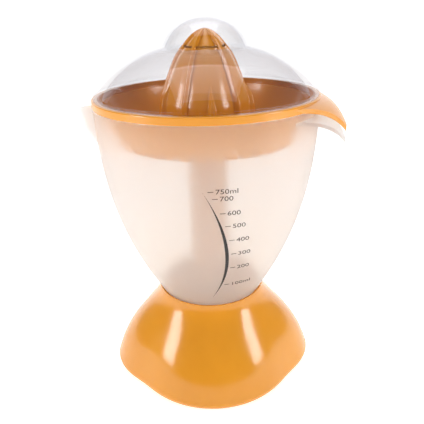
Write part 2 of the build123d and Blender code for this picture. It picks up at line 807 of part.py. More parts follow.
with BuildPart() as jar_column:
    add(ring(column_radius - column_wall, column_radius, inner_floor, column_top))
jar_column.part.label = "jar_column"
export_step(jar_column.part, "parts/jar_column.step")

# ---------- strainer ----------
flange_radius = jar_rim_radius + flange_overhang
basket_mouth = jar_radius(jar_rim, jar_wall) - drop_gap - basket_wall
slot_count = 40
slot_width = 3.0
slot_length = 14.0
slot_height = 4.2
inner_slot_count = 20
inner_slot_circle = 36.5
inner_slot_length = 9.0
inner_slot_width = 2.4
flange_edge = 0.7
toe_height = basket_bottom + 1.2
wall_bulge = basket_floor_radius + 5.3
floor_edge = basket_floor_radius - 2.6
hub_outer = column_radius + 1.3
sleeve_outer = stem_radius + 2.4
basket_mid = strainer_top - 0.55 * basket_depth
with BuildPart() as strainer:
    with BuildSketch(Plane.XZ):
        with BuildLine():
            Line((hub_outer, basket_inner_floor - basket_wall), (basket_floor_radius - 3, basket_bottom))
            Line((basket_floor_radius - 3, basket_bottom), (basket_floor_radius, toe_height))
            Spline(
                (basket_floor_radius, toe_height),
                (wall_bulge, basket_mid),
                (basket_mouth + basket_wall, flange_low),
            )
            Line((basket_mouth + basket_wall, flange_low), (flange_radius, flange_low))
            Line((flange_radius, flange_low), (flange_radius, strainer_top))
            Line((flange_radius, strainer_top), (basket_mouth, strainer_top))
            Spline(
                (basket_mouth, strainer_top),
                (wall_bulge - basket_wall, basket_mid),
                (floor_edge, toe_height + basket_wall),
            )
            Line((floor_edge, toe_height + basket_wall), (hub_outer, basket_inner_floor))
            Line((hub_outer, basket_inner_floor), (hub_outer, basket_inner_floor - basket_wall))
        make_face()
    revolve(axis=Axis.Z)
    flange_ends = (strainer_top - press_fit, strainer_top + press_fit)
    flange_corners = strainer.edges().filter_by_position(Axis.Z, *flange_ends)
    fillet(flange_corners, flange_edge)
    add(ring(sleeve_outer + run_gap, hub_outer + merge / 2, column_top + 2.0, basket_inner_floor + 1.0))
    add(tongue(0.0, strainer_tongue_thickness, handle_reach, handle_half_angle))
    with BuildSketch(Plane.XY.offset(flange_low + merge)):
        Circle(basket_mouth + basket_wall / 2)
    extrude(amount=flange_thickness, mode=Mode.SUBTRACT)
    with BuildSketch(Plane.XY.offset(basket_bottom - past)):
        with PolarLocations(basket_floor_radius - 2, slot_count):
            Rectangle(slot_length, slot_width)
    extrude(amount=slot_height + past, mode=Mode.SUBTRACT)
    with BuildSketch(Plane.XY.offset(basket_bottom)):
        with PolarLocations(inner_slot_circle, inner_slot_count):
            SlotOverall(inner_slot_length, inner_slot_width)
    extrude(amount=basket_hub_rise + basket_wall + 2 * past, mode=Mode.SUBTRACT)
strainer.part.label = "strainer"
export_step(strainer.part, "parts/strainer.step")

# ---------- reamer, its drive stem and the press sleeve ----------
hub_share = 0.88           # how far up the cone its hub reaches, where it runs into the skin
hub_bore_share = 0.72
hub_wall = 2.2
spear_point = 9.0
tip_rise = 0.6             # how far the ribs stand above the core's tip
core_profile = (  # share of the radius, share of the height
    (0.0, 1.0),
    (0.235, 0.93),
    (0.375, 0.855),
    (0.54, 0.735),
    (0.70, 0.54),
    (0.885, 0.22),
    (0.93, 0.04),
)


def cone_points(inset):
    """Half outline of the reamer's core from tip to foot, taken in by an inset."""
    points = []
    for share, level in core_profile:
        height = reamer_low + reamer_height * level
        if share < 0.3:
            height -= inset
        points.append((max(share * reamer_radius - inset, 0.0), height))
    return points


def cone(inset, foot):
    """The reamer's turned core, standing on the level foot."""
    points = cone_points(inset)
    with BuildPart() as body:
        with BuildSketch(Plane.XZ):
            with BuildLine():
                side = Spline(*points)
                Line(side @ 1, (points[-1][0], foot))
                Line((points[-1][0], foot), (0, foot))
                Line((0, foot), side @ 0)
            make_face()
        revolve(axis=Axis.Z)
    return body.part


def blade(width, reach_share, azimuth):
    """One upright rib, the cone's outline grown by rib_proud and cut to a height."""
    toward = direction(azimuth)
    points = [(r + rib_proud * (r > 0), z + tip_rise * (r == 0)) for r, z in cone_points(0.0)]
    with BuildPart() as body:
        with BuildSketch(Plane((0, 0, 0), x_dir=(*toward, 0), z_dir=(toward[1], -toward[0], 0))):
            with BuildLine():
                side = Spline(*points)
                Line(side @ 1, (points[-1][0], reamer_low))
                Line((points[-1][0], reamer_low), (0, reamer_low))
                Line((0, reamer_low), side @ 0)
            make_face()
        extrude(amount=width / 2, both=True)
        if reach_share < 1.0:
            top = reamer_low + reamer_height * reach_share
            side_on = Plane((0, 0, 0), x_dir=(toward[1], -toward[0], 0), z_dir=(-toward[0], -toward[1], 0))
            with BuildSketch(side_on):
                Polygon(
                    (-width, reamer_low),
                    (width, reamer_low),
                    (width / 2, top - spear_point),
                    (0, top),
                    (-width / 2, top - spear_point),
                    align=None,
                )
            extrude(amount=-2 * reamer_radius, mode=Mode.INTERSECT)
    return body.part


with BuildPart() as reamer_hub:
    add(ring(0, stem_radius + hub_wall, reamer_low, reamer_low + reamer_height * hub_share))
    add(cone(drop_gap, reamer_low), mode=Mode.INTERSECT)

with BuildPart() as reamer:
    add(cone(0.0, reamer_low))
    for index in range(rib_count):
        turn = rib_turn + 360.0 / rib_count * index
        add(blade(rib_width, 1.0, turn))
        add(blade(short_rib_width, short_rib_share, turn + short_rib_offset))
    add(cone(reamer_skin, reamer_low - past), mode=Mode.SUBTRACT)
    add(reamer_hub.part)
    with BuildSketch(Plane.XY.offset(reamer_low - past)):
        Circle(stem_radius + press_fit)
    extrude(amount=stem_top - reamer_low + past + 0.1, mode=Mode.SUBTRACT)
    with BuildSketch(Plane.XY.offset(reamer_low)):
        Circle(stem_bore)
    extrude(amount=reamer_height * hub_bore_share, mode=Mode.SUBTRACT)
reamer.part.label = "reamer"
export_step(reamer.part, "parts/reamer.step")

socket_depth = 18.0
with BuildPart() as drive_stem:
    add(ring(0, stem_radius, stem_low, stem_top))
    with BuildSketch(Plane.XY.offset(stem_low + socket_depth)):
        Circle(stem_bore)
    extrude(amount=stem_top - stem_low - socket_depth, mode=Mode.SUBTRACT)
    with BuildSketch(Plane.XY.offset(stem_low)):
        RegularPolygon(hex_flats / 2 + hex_gap, 6, major_radius=False)
    extrude(amount=socket_depth, mode=Mode.SUBTRACT)
drive_stem.part.label = "drive_stem"
export_step(drive_stem.part, "parts/drive_stem.step")

sleeve_low = column_top + 3.0
with BuildPart() as press_sleeve:
    add(ring(stem_radius + run_gap, sleeve_outer, sleeve_low + press_room, reamer_low - seat_gap))
press_sleeve.part.label = "press_sleeve"
export_step(press_sleeve.part, "parts/press_sleeve.step")

# ---------- lid ----------
lid_radius = flange_radius - 1.4
lip_outer = basket_mouth - drop_gap
lip_depth = 2.6
gate_radius = 1.4
gate_rise = 0.3
rim_step = 1.4
dome_foot = lid_radius - rim_step
dome_middle = (dome_foot + lid_crease_radius) / 2 + 2.4
dome_middle_height = lid_low + lid_crease_height * 0.66
crease_top = lid_low + lid_crease_height
crown_top = lid_low + lid_crown_height
crown_middle = lid_crease_radius * 0.7
crown_middle_height = crease_top + (crown_top - crease_top) * 0.66
rim_top = lid_low + lid_rim_height
lip_inner = lip_outer - lid_wall
with BuildPart() as lid:
    with BuildSketch(Plane.XZ):
        with BuildLine():
            crease = (lid_crease_radius, crease_top)
            ThreePointArc((dome_foot, rim_top), (dome_middle, dome_middle_height), crease)
            ThreePointArc(crease, (crown_middle, crown_middle_height), (0, crown_top))
            Line((0, crown_top), (0, crown_top - lid_wall))
            ThreePointArc(
                (0, crown_top - lid_wall),
                (crown_middle - lid_wall * 0.75, crown_middle_height - lid_wall * 0.65),
                (lid_crease_radius - lid_wall, crease_top - 0.4 * lid_wall),
            )
            ThreePointArc(
                (lid_crease_radius - lid_wall, crease_top - 0.4 * lid_wall),
                (dome_middle - lid_wall * 0.55, dome_middle_height - lid_wall * 0.9),
                (lip_inner, lid_low),
            )
            Polyline(
                (lip_inner, lid_low),
                (lip_inner, lid_low - lip_depth),
                (lip_outer, lid_low - lip_depth),
                (lip_outer, lid_low),
                (lid_radius, lid_low),
                (lid_radius, rim_top),
                (dome_foot, rim_top),
            )
        make_face()
    revolve(axis=Axis.Z)
    add(ring(0, gate_radius, crown_top - past, crown_top + gate_rise))
lid.part.label = "lid"
export_step(lid.part, "parts/lid.step")
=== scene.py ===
import json
import logging
import math
from dataclasses import dataclass, field
from enum import Enum
from typing import Callable, Sequence

import bmesh
import bpy
from mathutils import Matrix, Vector


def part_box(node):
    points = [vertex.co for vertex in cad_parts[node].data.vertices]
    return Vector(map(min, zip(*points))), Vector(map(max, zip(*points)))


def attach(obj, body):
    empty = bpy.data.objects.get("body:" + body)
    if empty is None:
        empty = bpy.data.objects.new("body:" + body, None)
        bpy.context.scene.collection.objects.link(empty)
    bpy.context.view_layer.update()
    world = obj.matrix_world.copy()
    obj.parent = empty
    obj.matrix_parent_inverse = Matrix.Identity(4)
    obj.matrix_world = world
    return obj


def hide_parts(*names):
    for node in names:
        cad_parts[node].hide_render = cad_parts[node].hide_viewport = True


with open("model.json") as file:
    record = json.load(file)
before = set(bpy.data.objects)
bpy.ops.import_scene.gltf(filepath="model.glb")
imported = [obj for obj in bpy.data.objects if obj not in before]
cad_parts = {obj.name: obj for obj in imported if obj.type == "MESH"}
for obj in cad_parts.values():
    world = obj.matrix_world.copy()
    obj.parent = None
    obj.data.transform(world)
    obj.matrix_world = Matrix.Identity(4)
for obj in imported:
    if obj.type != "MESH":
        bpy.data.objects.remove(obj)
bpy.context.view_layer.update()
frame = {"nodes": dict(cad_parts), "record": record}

LOG = logging.getLogger("citrus_press")
MM = 0.001
WELD_GAP = 1e-7
TINY = 1e-6
NOISE_ROUGHNESS = 0.55
NOISE_RANGE = (0.3, 0.7)
WHITE = (1.0, 1.0, 1.0, 1.0)

Colour = tuple[float, float, float]
Point = tuple[float, float, float]
Range = tuple[float, float]


class Body(str, Enum):
    """The moving bodies of the press that new pieces ride on."""

    JAR = "jar"
    REAMER = "reamer"


class Slot(str, Enum):
    """The record's material slots that new pieces take."""

    ORANGE = "orange_gloss"
    INK = "dark_nylon"


# ---------------------------------------------------------------------------
# Finishes
# ---------------------------------------------------------------------------


class NodeSheet:
    """A material's node tree with short ways to add and link nodes."""

    def __init__(self, name: str) -> None:
        """Start a material with an empty Principled shader.

        Args:
            name: The material's name.
        """
        self.material = bpy.data.materials.new(name)
        self.material.use_nodes = True
        self.tree = self.material.node_tree
        self.shader = self.tree.nodes["Principled BSDF"]
        self.output = self.tree.nodes["Material Output"]

    def add(self, kind: str, **values: object) -> bpy.types.Node:
        """Add a node and set its inputs by name.

        Args:
            kind: The node's Blender type.
            values: Input values, with underscores for spaces.

        Returns:
            The new node.
        """
        node = self.tree.nodes.new(kind)
        for name, value in values.items():
            node.inputs[name.replace("_", " ")].default_value = value
        return node

    def link(self, source: bpy.types.NodeSocket, target: bpy.types.NodeSocket) -> None:
        """Join two sockets."""
        self.tree.links.new(source, target)

    def set(self, **values: object) -> None:
        """Set the shader's own sockets, with underscores for spaces in their names."""
        for name, value in values.items():
            self.shader.inputs[name.replace("_", " ")].default_value = value

    def position(self, scale: Sequence[float] = (1, 1, 1)) -> bpy.types.NodeSocket:
        """Object coordinates, stretched along the axes.

        Args:
            scale: The stretch along X, Y and Z.

        Returns:
            The coordinate socket.
        """
        place = self.tree.nodes.new("ShaderNodeTexCoord")
        stretch = self.tree.nodes.new("ShaderNodeMapping")
        stretch.inputs["Scale"].default_value = tuple(scale)
        self.link(place.outputs["Object"], stretch.inputs["Vector"])
        return stretch.outputs["Vector"]

    def noise(self, scale: float, detail: float = 3.0,
              stretch: Sequence[float] = (1, 1, 1)) -> bpy.types.NodeSocket:
        """Noise over the object.

        Args:
            scale: Cells per metre.
            detail: Octaves.
            stretch: The stretch along X, Y and Z.

        Returns:
            The noise value socket.
        """
        node = self.add("ShaderNodeTexNoise", Scale=scale, Detail=detail, Roughness=NOISE_ROUGHNESS)
        self.link(self.position(stretch), node.inputs["Vector"])
        return node.outputs["Fac"]

    def ramp(self, value: bpy.types.NodeSocket, low: Colour, high: Colour, start: float,
             end: float) -> bpy.types.NodeSocket:
        """Turn a value into a colour between two.

        Args:
            value: The driving value.
            low: The colour at the start.
            high: The colour at the end.
            start: The value where the change begins.
            end: The value where it ends.

        Returns:
            The colour socket.
        """
        node = self.tree.nodes.new("ShaderNodeValToRGB")
        node.color_ramp.elements[0].position = start
        node.color_ramp.elements[0].color = (*low, 1)
        node.color_ramp.elements[1].position = end
        node.color_ramp.elements[1].color = (*high, 1)
        self.link(value, node.inputs["Fac"])
        return node.outputs["Color"]

    def spread(self, value: bpy.types.NodeSocket, low: float, high: float) -> bpy.types.NodeSocket:
        """Map a noise value onto a range.

        Args:
            value: The noise value.
            low: The result at the noise's low side.
            high: The result at its high side.

        Returns:
            The mapped value socket.
        """
        start, end = NOISE_RANGE
        node = self.add("ShaderNodeMapRange", From_Min=start, From_Max=end, To_Min=low, To_Max=high)
        self.link(value, node.inputs["Value"])
        return node.outputs["Result"]

    def tint(self, value: bpy.types.NodeSocket, low: Colour, high: Colour, start: float = 0.35,
             end: float = 0.65) -> None:
        """Colour the shader between two colours.

        Args:
            value: The driving value.
            low: The colour at the start.
            high: The colour at the end.
            start: The value where the change begins.
            end: The value where it ends.
        """
        self.link(self.ramp(value, low, high, start, end), self.shader.inputs["Base Color"])

    def roughen(self, value: bpy.types.NodeSocket, roughness: float, uneven: Range) -> None:
        """Vary the shader's roughness.

        Args:
            value: The noise value that drives it.
            roughness: The middle roughness.
            uneven: The least and the most, as shares of the middle.
        """
        low, high = (roughness * share for share in uneven)
        self.link(self.spread(value, low, high), self.shader.inputs["Roughness"])

    def blend_with(self, kind: str, share: float, colour: Colour) -> None:
        """Mix a second plain shader into the finished surface.

        Args:
            kind: The second shader's Blender type.
            share: How much of it shows, from 0 to 1.
            colour: Its colour.
        """
        second = self.add(kind, Color=(*colour, 1.0))
        mix = self.tree.nodes.new("ShaderNodeMixShader")
        mix.inputs["Fac"].default_value = share
        self.link(self.shader.outputs["BSDF"], mix.inputs[1])
        self.link(second.outputs["BSDF"], mix.inputs[2])
        self.link(mix.outputs["Shader"], self.output.inputs["Surface"])

    def bump(self, height: bpy.types.NodeSocket, depth: float, strength: float = 1.0) -> None:
        """Add a bump to the shader's normal.

        Args:
            height: The height value.
            depth: The relief in metres.
            strength: How much of it shows.
        """
        node = self.add("ShaderNodeBump", Strength=strength, Distance=depth)
        self.link(height, node.inputs["Height"])
        self.link(node.outputs["Normal"], self.shader.inputs["Normal"])


@dataclass(frozen=True)
class GlossPlastic:
    """Glossy injection-moulded plastic, slightly translucent and very slightly uneven."""

    name: str
    deep: Colour
    light: Colour
    roughness: float = 0.16
    uneven: Range = (0.8, 1.35)
    flow_scale: float = 22.0
    flow_stretch: Sequence[float] = (1, 1, 0.6)
    handling_scale: float = 95.0
    ripple_scale: float = 380.0
    ripple: float = 0.00003
    ripple_strength: float = 0.5
    glow: float = 0.08
    glow_radius: float = 0.006
    glow_spread: Colour = (1.0, 0.45, 0.12)
    coat: float = 0.2
    coat_roughness: float = 0.14
    refraction: float = 1.49

    def make(self) -> bpy.types.Material:
        """Build the material.

        Returns:
            The finished material.
        """
        sheet = NodeSheet(self.name)
        flow = sheet.noise(self.flow_scale, detail=4.0, stretch=self.flow_stretch)
        sheet.tint(flow, self.deep, self.light)
        sheet.roughen(sheet.noise(self.handling_scale, detail=5.0), self.roughness, self.uneven)
        sheet.bump(sheet.noise(self.ripple_scale, detail=2.0), self.ripple, self.ripple_strength)
        sheet.set(Subsurface_Weight=self.glow, Subsurface_Scale=self.glow_radius, Coat_Weight=self.coat,
                  Coat_Roughness=self.coat_roughness, IOR=self.refraction)
        sheet.set(Subsurface_Radius=self.glow_spread)
        return sheet.material


@dataclass(frozen=True)
class FrostedPlastic:
    """Clear plastic with a fine frosted skin, with a painted warm glow of the orange base's light towards
    its foot.
    """

    name: str
    deep: Colour
    light: Colour
    roughness: float = 0.30
    uneven: Range = (0.92, 1.08)
    clearness: float = 0.92
    refraction: float = 1.2
    scatter: float = 0.34
    haze: Colour = (0.97, 0.965, 0.96)
    # Painted glow: the heights in metres over which the jar's colour turns from the warm glow of the orange
    # base to its own pale tint.
    painted_glow_low: float = 0.05
    painted_glow_high: float = 0.16
    cloud_scale: float = 14.0
    cloud_depth: float = 0.06
    speck_scale: float = 900.0
    grain_scale: float = 1500.0
    grain: float = 0.00002
    grain_strength: float = 0.35

    def make(self) -> bpy.types.Material:
        """Build the material.

        Returns:
            The finished material.
        """
        sheet = NodeSheet(self.name)
        parts = sheet.tree.nodes.new("ShaderNodeSeparateXYZ")
        sheet.link(sheet.position(), parts.inputs["Vector"])
        # Painted glow: the colour runs from the warm deep colour at the foot, which stands in for the
        # orange base's light, to the light colour higher up. The noise adds random cloudiness.
        rise = sheet.add("ShaderNodeMapRange", From_Min=self.painted_glow_low, From_Max=self.painted_glow_high)
        sheet.link(parts.outputs["Z"], rise.inputs["Value"])
        painted_glow_and_cloud = sheet.add("ShaderNodeMath")
        sheet.link(rise.outputs["Result"], painted_glow_and_cloud.inputs[0])
        drift = sheet.spread(sheet.noise(self.cloud_scale), -self.cloud_depth, self.cloud_depth)
        sheet.link(drift, painted_glow_and_cloud.inputs[1])
        sheet.tint(painted_glow_and_cloud.outputs["Value"], self.deep, self.light, start=0.0, end=1.0)
        sheet.roughen(sheet.noise(self.speck_scale, detail=2.0), self.roughness, self.uneven)
        sheet.bump(sheet.noise(self.grain_scale, detail=2.0), self.grain, self.grain_strength)
        sheet.set(Transmission_Weight=self.clearness, IOR=self.refraction)
        sheet.blend_with("ShaderNodeBsdfTranslucent", self.scatter, self.haze)
        return sheet.material


@dataclass(frozen=True)
class ClearPlastic:
    """Thin polished clear plastic: light goes straight through and only the sheen is reflected; the sheen's
    grey tint is a painted reflection of darker surroundings.
    """

    name: str
    deep: Colour
    light: Colour
    edge_curve: float = 0.12
    sheen: Range = (0.01, 0.60)
    clear_colour: Colour = (0.962, 0.962, 0.968)
    sheen_scale: float = 18.0
    polish_scale: float = 60.0
    polish: Range = (0.02, 0.06)

    def make(self) -> bpy.types.Material:
        """Build the material.

        Returns:
            The finished material.
        """
        sheet = NodeSheet(self.name)
        # Painted reflection: the sheen is tinted grey and faintly blue, standing in for darker surroundings
        # mirrored in the lid's edges.
        sheet.tint(sheet.noise(self.sheen_scale), self.deep, self.light)
        polish = sheet.spread(sheet.noise(self.polish_scale), *self.polish)
        sheet.link(polish, sheet.shader.inputs["Roughness"])
        sheet.set(Metallic=1.0)
        clear = sheet.add("ShaderNodeBsdfTransparent", Color=(*self.clear_colour, 1.0))
        facing = sheet.add("ShaderNodeLayerWeight", Blend=self.edge_curve)
        share = sheet.add("ShaderNodeMapRange", To_Min=self.sheen[0], To_Max=self.sheen[1])
        mix = sheet.tree.nodes.new("ShaderNodeMixShader")
        sheet.link(facing.outputs["Facing"], share.inputs["Value"])
        sheet.link(share.outputs["Result"], mix.inputs["Fac"])
        sheet.link(clear.outputs["BSDF"], mix.inputs[1])
        sheet.link(sheet.shader.outputs["BSDF"], mix.inputs[2])
        sheet.link(mix.outputs["Shader"], sheet.output.inputs["Surface"])
        return sheet.material


@dataclass(frozen=True)
class MattPlastic:
    """Spark-textured or machined matt plastic."""

    name: str
    deep: Colour
    light: Colour
    roughness: float = 0.55
    grain_scale: float = 1400.0
    grain: float = 0.00005
    grain_strength: float = 0.6
    uneven: Range = (0.85, 1.15)
    colour_scale: float = 45.0
    wear_scale: float = 160.0

    def make(self) -> bpy.types.Material:
        """Build the material.

        Returns:
            The finished material.
        """
        sheet = NodeSheet(self.name)
        sheet.tint(sheet.noise(self.colour_scale), self.deep, self.light)
        sheet.roughen(sheet.noise(self.wear_scale), self.roughness, self.uneven)
        sheet.bump(sheet.noise(self.grain_scale, detail=2.0), self.grain, self.grain_strength)
        return sheet.material


@dataclass(frozen=True)
class Metal:
    """Drawn, rolled or sintered metal, with a grain that its stretch can give a direction."""

    name: str
    deep: Colour
    light: Colour
    roughness: float = 0.28
    stretch: Sequence[float] = (1, 1, 0.05)
    metallic: float = 1.0
    uneven: Range = (0.75, 1.3)
    grain_scale: float = 1800.0
    grain: float = 0.00002
    grain_strength: float = 0.4

    def make(self) -> bpy.types.Material:
        """Build the material.

        Returns:
            The finished material.
        """
        sheet = NodeSheet(self.name)
        grain = sheet.noise(self.grain_scale, stretch=self.stretch)
        sheet.tint(grain, self.deep, self.light)
        sheet.roughen(grain, self.roughness, self.uneven)
        sheet.bump(grain, self.grain, self.grain_strength)
        sheet.set(Metallic=self.metallic)
        return sheet.material


@dataclass(frozen=True)
class Winding:
    """Enamelled wire wound round a bobbin, shown as level bands of about two wires each."""

    name: str
    deep: Colour
    light: Colour
    wire: float = 0.0005
    wave_ratio: float = 6.3
    waver: float = 0.4
    relief: float = 0.0002
    relief_strength: float = 0.8
    metallic: float = 0.8
    roughness: float = 0.35

    def make(self) -> bpy.types.Material:
        """Build the material.

        Returns:
            The finished material.
        """
        sheet = NodeSheet(self.name)
        scale = 1.0 / self.wire / self.wave_ratio
        turns = sheet.add("ShaderNodeTexWave", Scale=scale, Distortion=self.waver, Detail=2.0)
        turns.bands_direction = "Z"
        sheet.link(sheet.position(), turns.inputs["Vector"])
        sheet.tint(turns.outputs["Fac"], self.deep, self.light, start=0.1, end=0.9)
        sheet.bump(turns.outputs["Fac"], self.relief, self.relief_strength)
        sheet.set(Metallic=self.metallic, Roughness=self.roughness)
        return sheet.material


SCALE_INK = "scale_ink"
FINISHES = (
    GlossPlastic("orange_gloss", (0.66, 0.250, 0.006), (0.72, 0.280, 0.009)),
    # The jar's warm deep colour is a painted glow of the orange base's light in its foot.
    FrostedPlastic("frosted_jar", (1.0, 0.935, 0.86), (0.99, 0.985, 0.98)),
    # The lid's grey sheen colours are a painted reflection of darker surroundings.
    ClearPlastic("clear_lid", (0.44, 0.44, 0.49), (0.56, 0.56, 0.61)),
    MattPlastic("underside", (0.66, 0.30, 0.03), (0.74, 0.35, 0.04)),
    MattPlastic("white_acetal", (0.78, 0.76, 0.70), (0.86, 0.84, 0.79), roughness=0.38, grain_scale=900.0),
    MattPlastic("dark_nylon", (0.010, 0.010, 0.012), (0.022, 0.022, 0.025), roughness=0.45),
    MattPlastic("black_rubber", (0.018, 0.018, 0.018), (0.035, 0.034, 0.033), roughness=0.78,
                grain_scale=1100.0, grain=0.0001),
    Metal("steel", (0.52, 0.52, 0.53), (0.66, 0.66, 0.67), roughness=0.24),
    Metal("zinc_can", (0.46, 0.48, 0.50), (0.60, 0.61, 0.62), roughness=0.34, stretch=(1, 1, 0.3)),
    Metal("bronze", (0.45, 0.27, 0.12), (0.60, 0.38, 0.19), roughness=0.42, stretch=(1, 1, 1)),
    Winding("copper_winding", (0.30, 0.08, 0.03), (0.62, 0.24, 0.10)),
    Metal("ferrite", (0.05, 0.05, 0.055), (0.10, 0.10, 0.11), roughness=0.6, stretch=(1, 1, 1),
          metallic=0.25),
    MattPlastic(SCALE_INK, (0.008, 0.008, 0.009), (0.016, 0.016, 0.018), roughness=0.5, grain_scale=2200.0,
                grain=0.00002),
)


class Wardrobe:
    """Makes each finish once and dresses the CAD nodes in their slots' finishes."""

    def __init__(self) -> None:
        """Build every material."""
        self.materials = {finish.name: finish.make() for finish in FINISHES}

    def of(self, name: str) -> bpy.types.Material:
        """The material of a finish."""
        return self.materials[name]

    def dress_frame(self) -> None:
        """Give each CAD node its slot's finish."""
        for part in frame["record"]["subparts"]:
            node = frame["nodes"][part["node"]]
            node.data.materials.clear()
            node.data.materials.append(self.of(part["material_slot"]))
            for polygon in node.data.polygons:
                polygon.material_index = 0


# ---------------------------------------------------------------------------
# Mesh helpers
# ---------------------------------------------------------------------------


def span(node: str) -> tuple[Vector, Vector]:
    """A CAD node's lowest and highest corners, in metres."""
    low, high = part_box(node)
    return Vector(low), Vector(high)


def publish(name: str, points: Sequence[Point], faces: Sequence[Sequence[int]],
            material: bpy.types.Material, smooth: bool = True) -> bpy.types.Object:
    """Make a mesh object from points and faces.

    Args:
        name: The piece's name.
        points: Vertices in metres.
        faces: Vertex indices of each face.
        material: Its finish.
        smooth: Whether its faces are shaded smooth.

    Returns:
        The new object, in the scene.
    """
    mesh = bpy.data.meshes.new(name)
    mesh.from_pydata(points, [], faces)
    mesh.validate()
    work = bmesh.new()
    work.from_mesh(mesh)
    bmesh.ops.remove_doubles(work, verts=work.verts, dist=WELD_GAP)
    bmesh.ops.recalc_face_normals(work, faces=work.faces)
    work.to_mesh(mesh)
    work.free()
    for polygon in mesh.polygons:
        polygon.use_smooth = smooth
    mesh.materials.append(material)
    piece = bpy.data.objects.new(name, mesh)
    bpy.context.scene.collection.objects.link(piece)
    return piece


def blend_line(knots: Sequence[tuple[float, float]], value: float) -> float:
    """Read a smooth curve through knots by a monotone cubic.

    Args:
        knots: Pairs of place and height, places rising.
        value: The place to read.

    Returns:
        The curve's height there.
    """
    if value <= knots[0][0]:
        return knots[0][1]
    if value >= knots[-1][0]:
        return knots[-1][1]
    slopes = [(b[1] - a[1]) / (b[0] - a[0]) for a, b in zip(knots, knots[1:])]
    index = next(i for i in range(len(slopes)) if value <= knots[i + 1][0])

    def tangent(knot: int) -> float:
        """The curve's slope at a knot.

        Args:
            knot: The knot's index.

        Returns:
            The slope.
        """
        if knot == 0:
            return slopes[0]
        if knot == len(slopes):
            return slopes[-1]
        before, after = slopes[knot - 1], slopes[knot]
        return 0.0 if before * after <= 0 else 2 * before * after / (before + after)

    (x0, y0), (x1, y1) = knots[index], knots[index + 1]
    width = x1 - x0
    t = (value - x0) / width
    return ((2 * t**3 - 3 * t**2 + 1) * y0 + (t**3 - 2 * t**2 + t) * width * tangent(index)
            + (-2 * t**3 + 3 * t**2) * y1 + (t**3 - t**2) * width * tangent(index + 1))


@dataclass
class RingShell:
    """The points and faces of a closed shell made of rings round the Z axis."""

    around: int
    points: list[Point] = field(default_factory=list)
    faces: list[tuple[int, ...]] = field(default_factory=list)

    def ring(self, radius_of: Callable[[float], float], z: float) -> int:
        """Add one ring of points.

        Args:
            radius_of: The radius in metres for a direction in degrees, 0 at the front.
            z: The ring's height in metres.

        Returns:
            The index of the ring's first point.
        """
        start = len(self.points)
        for step in range(self.around):
            azimuth = 360.0 * step / self.around
            radius = radius_of(azimuth)
            turn = math.radians(azimuth)
            self.points.append((radius * math.sin(turn), -radius * math.cos(turn), z))
        return start

    def round_ring(self, radius: float, z: float) -> int:
        """Add a round ring and return the index of its first point."""
        return self.ring(lambda azimuth: radius, z)

    def bridge(self, rings: Sequence[int]) -> None:
        """Join each ring of a run to the next with quads.

        Args:
            rings: The first index of each ring, in order.
        """
        for a, b in zip(rings, rings[1:]):
            for step in range(self.around):
                after = (step + 1) % self.around
                self.faces.append((a + step, a + after, b + after, b + step))

    def close(self, ring: int, z: float) -> None:
        """Close a ring with a fan to a point on the axis.

        Args:
            ring: The ring's first index.
            z: The point's height in metres.
        """
        centre = len(self.points)
        self.points.append((0.0, 0.0, z))
        for step in range(self.around):
            self.faces.append((ring + step, ring + (step + 1) % self.around, centre))


# ---------------------------------------------------------------------------
# Reamer
# ---------------------------------------------------------------------------


